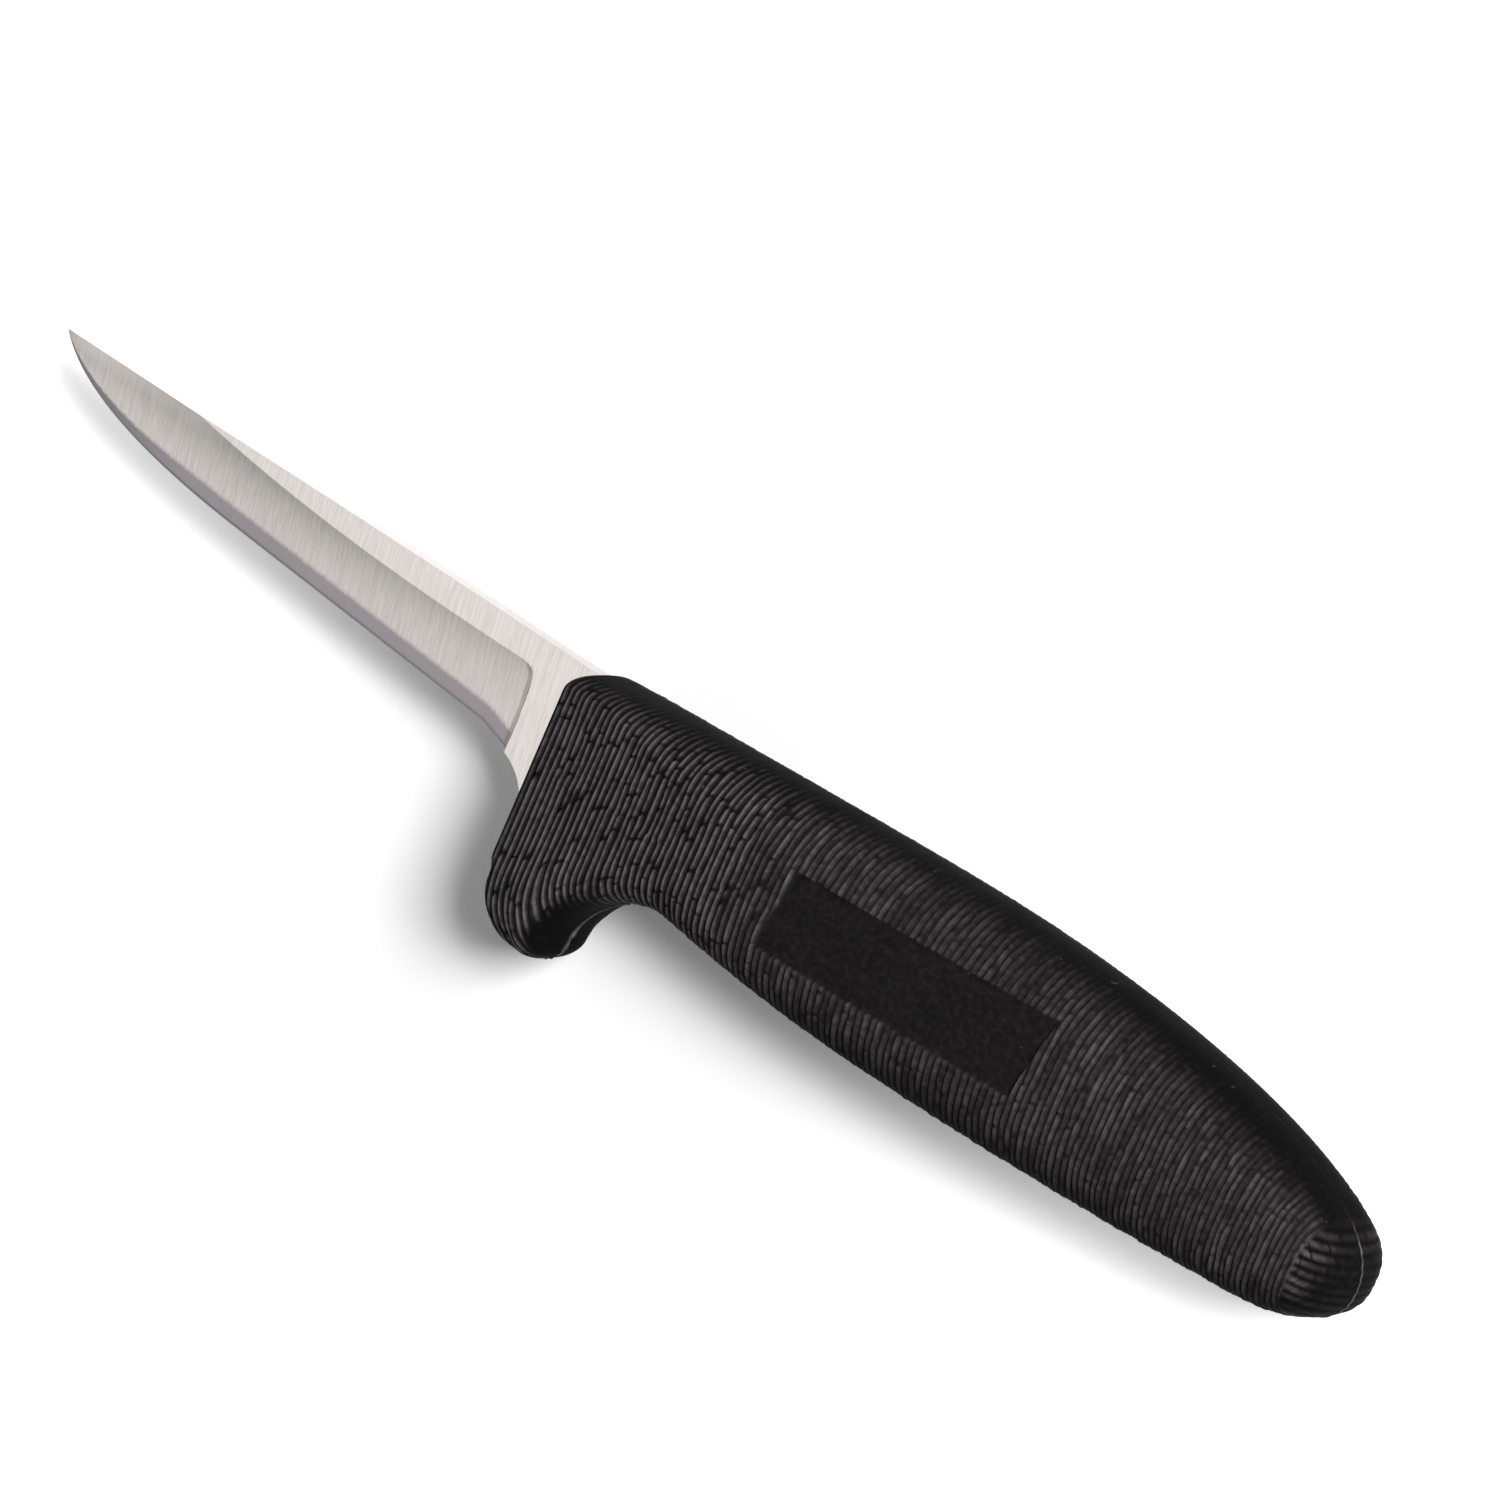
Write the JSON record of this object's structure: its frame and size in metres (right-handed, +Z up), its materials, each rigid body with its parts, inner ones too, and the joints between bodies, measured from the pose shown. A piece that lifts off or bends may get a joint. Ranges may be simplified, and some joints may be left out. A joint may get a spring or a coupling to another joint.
{
  "type": "vent knife",
  "caption": "Short narrow hollow-ground knife with a straight spine and a textured moulded handle that drops into a finger guard, for opening poultry.",
  "frame": {"origin": "under the middle of the knife's box, on the surface that the knife lies on", "axes": "+X along the knife from the tip towards the butt, +Y from the cutting edge towards the spine, +Z up, square to the flat of the blade"},
  "size_m": [0.1942, 0.0336, 0.0173],
  "materials": {
    "steel": "stainless steel, brushed across the blade, hollow ground",
    "plastic": "black moulded polypropylene with cord-like ridges and one smooth plate"
  },
  "bodies": {
    "root": {"blade": "steel", "handle": "plastic"}
  },
  "joints": []
}
